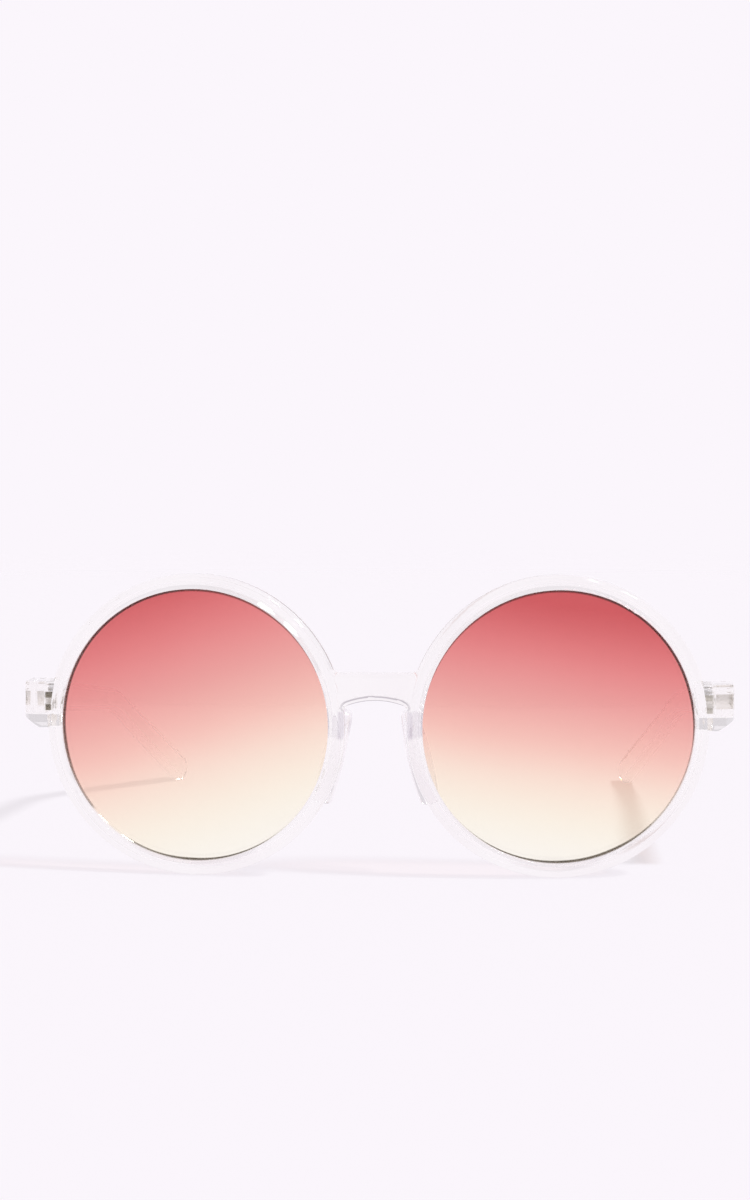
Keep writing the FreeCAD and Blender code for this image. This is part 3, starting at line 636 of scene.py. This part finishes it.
def lensEdgeShade(tree, local, side):
    # where the painted dark edge shade shows, and the distance from the lens's axis
    flat = vectorMaths(tree, "MULTIPLY", 2, 2, local, (1, 0, 1))
    radius = vectorMaths(tree, "LENGTH", 3, 2, flat)
    heading = vectorMaths(tree, "NORMALIZE", 3, 3, flat)
    lean = math.radians(lensTint["edgeLean"])
    outward = vectorMaths(
        tree, "DOT_PRODUCT", 4, 3, heading, (sides[side] * math.cos(lean), 0, math.sin(lean)))
    fade = mapValue(tree, 5, 3, outward, lensTint["edgeFade"])
    where = math.radians(lensTint["edgeGap"][side])
    towards = vectorMaths(tree, "DOT_PRODUCT", 4, 4, heading, (math.cos(where), 0, math.sin(where)))
    gap = mapValue(
        tree, 5, 4, towards, cosines(lensTint["gapReach"]), (1.0, lensTint["gapLeft"][side]), smooth=True)
    kept = maths(tree, "MULTIPLY", 6, 3, fade, gap)
    inward = mapValue(tree, 7, 3, kept, (0.0, 1.0), (-lensTint["edgeThin"], 0.0))
    shifted = maths(tree, "ADD", 7, 4, radius, inward)
    edge = mapValue(tree, 8, 3, shifted, lensTint["edgeFrom"], smooth=True)
    present = mapValue(tree, 7, 2, kept, (0.0, lensTint["edgePale"]))
    line = maths(tree, "MULTIPLY", 8, 2, edge, present)
    if side in lensTint["edgeBreak"]:
        ends = mapValue(tree, 8, 4, towards, cosines(lensTint["edgeBreak"][side]), (1.0, 0.0))
        line = maths(tree, "MULTIPLY", 9, 2, line, ends)
    return line, radius


def lensMaterial(side):
    material, tree, place = newMaterial(f"roseGradient_{side}")
    x, y, z = lens["seat"]
    # the lens's own axes: across, out of it and up
    own = addNode(tree, "ShaderNodeMapping", 1, 0, vector_type="TEXTURE", sockets={
        "Location": (sides[side] * x, y, z), "Rotation": (0, 0, math.radians(sides[side] * lens["wrap"]))})
    tree.links.new(place, own.inputs["Vector"])
    local = own.outputs["Vector"]
    dye = lensDye(tree, place, local, side)
    line, radius = lensEdgeShade(tree, local, side)
    # painted shade: the dye darkened where the edge line shows
    dark = mixColours(tree, 5, 1, 1.0, dye, shade(*lensTint["edgeShade"]), "MULTIPLY")
    paintedEdge = mixColours(tree, 6, 1, line, dye, dark)
    bevelled = tintWhere(tree, 7, paintedEdge, lensTint["tongue"], ((radius, lensTint["tongueFrom"]),))
    marks = useGroup(tree, 2, 4, marksGroup, place, lensTint["marks"])
    specks = useGroup(tree, 2, 5, dustGroup, place, lensTint["dust"])
    dusted = mixColours(tree, 6, 0, specks["Speck"], bevelled, shade(*lensTint["speckColour"]))
    roughness = roughnessFrom(tree, 3, 6, marks, specks, lensTint["polish"])
    scratch = addBump(tree, 5, 4, marks["Scratch"], *lensTint["scratch"], invert=True)
    body = addBody(tree, 7, dusted, roughness, scratch.outputs["Normal"], {
        "IOR": lensTint["ior"], "Transmission Weight": 1.0})
    finishGlass(tree, 8, body, lensTint["shadow"])
    return material


metals = {
    "hingeMetal": {"bright": (246, 244, 240), "tarnish": (226, 221, 213), "roughness": (0.2, 0.45),
                   "grain": (1.0, 0.08, 1.0), "grainScale": 9000.0},
    "screwMetal": {"bright": (222, 222, 222), "tarnish": (176, 172, 166), "roughness": (0.18, 0.42),
                   "grain": (1.0, 1.0, 0.1), "grainScale": 12000.0},
}
metalWear = {
    "stainScale": 700.0,  # per m
    "stainFrom": (0.42, 0.68),  # where in the stain it is bright and where tarnished
    "grain": (0.3, 0.00001),  # strength, and depth in m
    "marks": {"Smudge Scale": 900.0, "Scratch Scale": 6000.0},
    "dust": {"Scale": 1500.0, "Size": 0.05, "Share": 0.08},
}
# painted shade on the front-facing prongs, darker on the right: colours, where along y in m, and how far
# the surface faces the front
prongShade = {"left": (196, 192, 182), "right": (120, 112, 96), "from": (-0.0607, -0.0612),
              "facing": (-0.3, -0.7)}


def metalMaterial(name, side):
    finish = metals[name]
    material, tree, place = newMaterial(f"{name}_{side}")
    stretch = addNode(tree, "ShaderNodeMapping", 1, 1, sockets={"Scale": finish["grain"]})
    tree.links.new(place, stretch.inputs["Vector"])
    grain = addNoise(tree, 2, 1, stretch.outputs["Vector"], finish["grainScale"], detail=3.0)
    stain = addNoise(tree, 2, 0, place, metalWear["stainScale"], detail=4.0)
    tone = toneRamp(tree, 3, 0, stain, metalWear["stainFrom"], (finish["bright"], finish["tarnish"]))
    normal = addNode(tree, "ShaderNodeNewGeometry", 2, 7).outputs["Normal"]
    # painted shade darkens the prongs that face the front
    prongShaded = tintWhere(tree, 4, tone, prongShade[side], (
        (splitVector(tree, 3, 5, place)["Y"], prongShade["from"]),
        (splitVector(tree, 3, 7, normal)["Y"], prongShade["facing"])))
    marks = useGroup(tree, 2, 3, marksGroup, place, metalWear["marks"])
    specks = useGroup(tree, 2, 4, dustGroup, place, metalWear["dust"])
    roughness = roughnessFrom(tree, 3, 3, marks, specks, finish["roughness"])
    bump = addBump(tree, 4, 2, grain, *metalWear["grain"])
    showShader(tree, 8, addBody(tree, 7, prongShaded, roughness, bump.outputs["Normal"], {"Metallic": 1.0}))
    return material


dress(pieces["front_frame"], clearPlasticMaterial("front"))
padPlastic = clearPlasticMaterial("pad")
for side in sides:
    dress(pieces[f"{side}_temple"], clearPlasticMaterial(f"{side}Temple"))
    dress(pieces[f"{side}_nose_pad"], padPlastic)
    dress(lenses[side], lensMaterial(side))
    hingeMetal = metalMaterial("hingeMetal", side)
    for piece in leaves[side]:
        dress(piece, hingeMetal)
    dress(screws[side], metalMaterial("screwMetal", side))
print("materials set")

nearTemple = [pieces["left_temple"], leaves["left"][1]]
others = [pieces["front_frame"], pieces["right_temple"], pieces["left_nose_pad"], pieces["right_nose_pad"],
          leaves["left"][0], *leaves["right"], *screws.values(), *lenses.values()]
buildLamps(nearTemple, others)
print("lamps set")
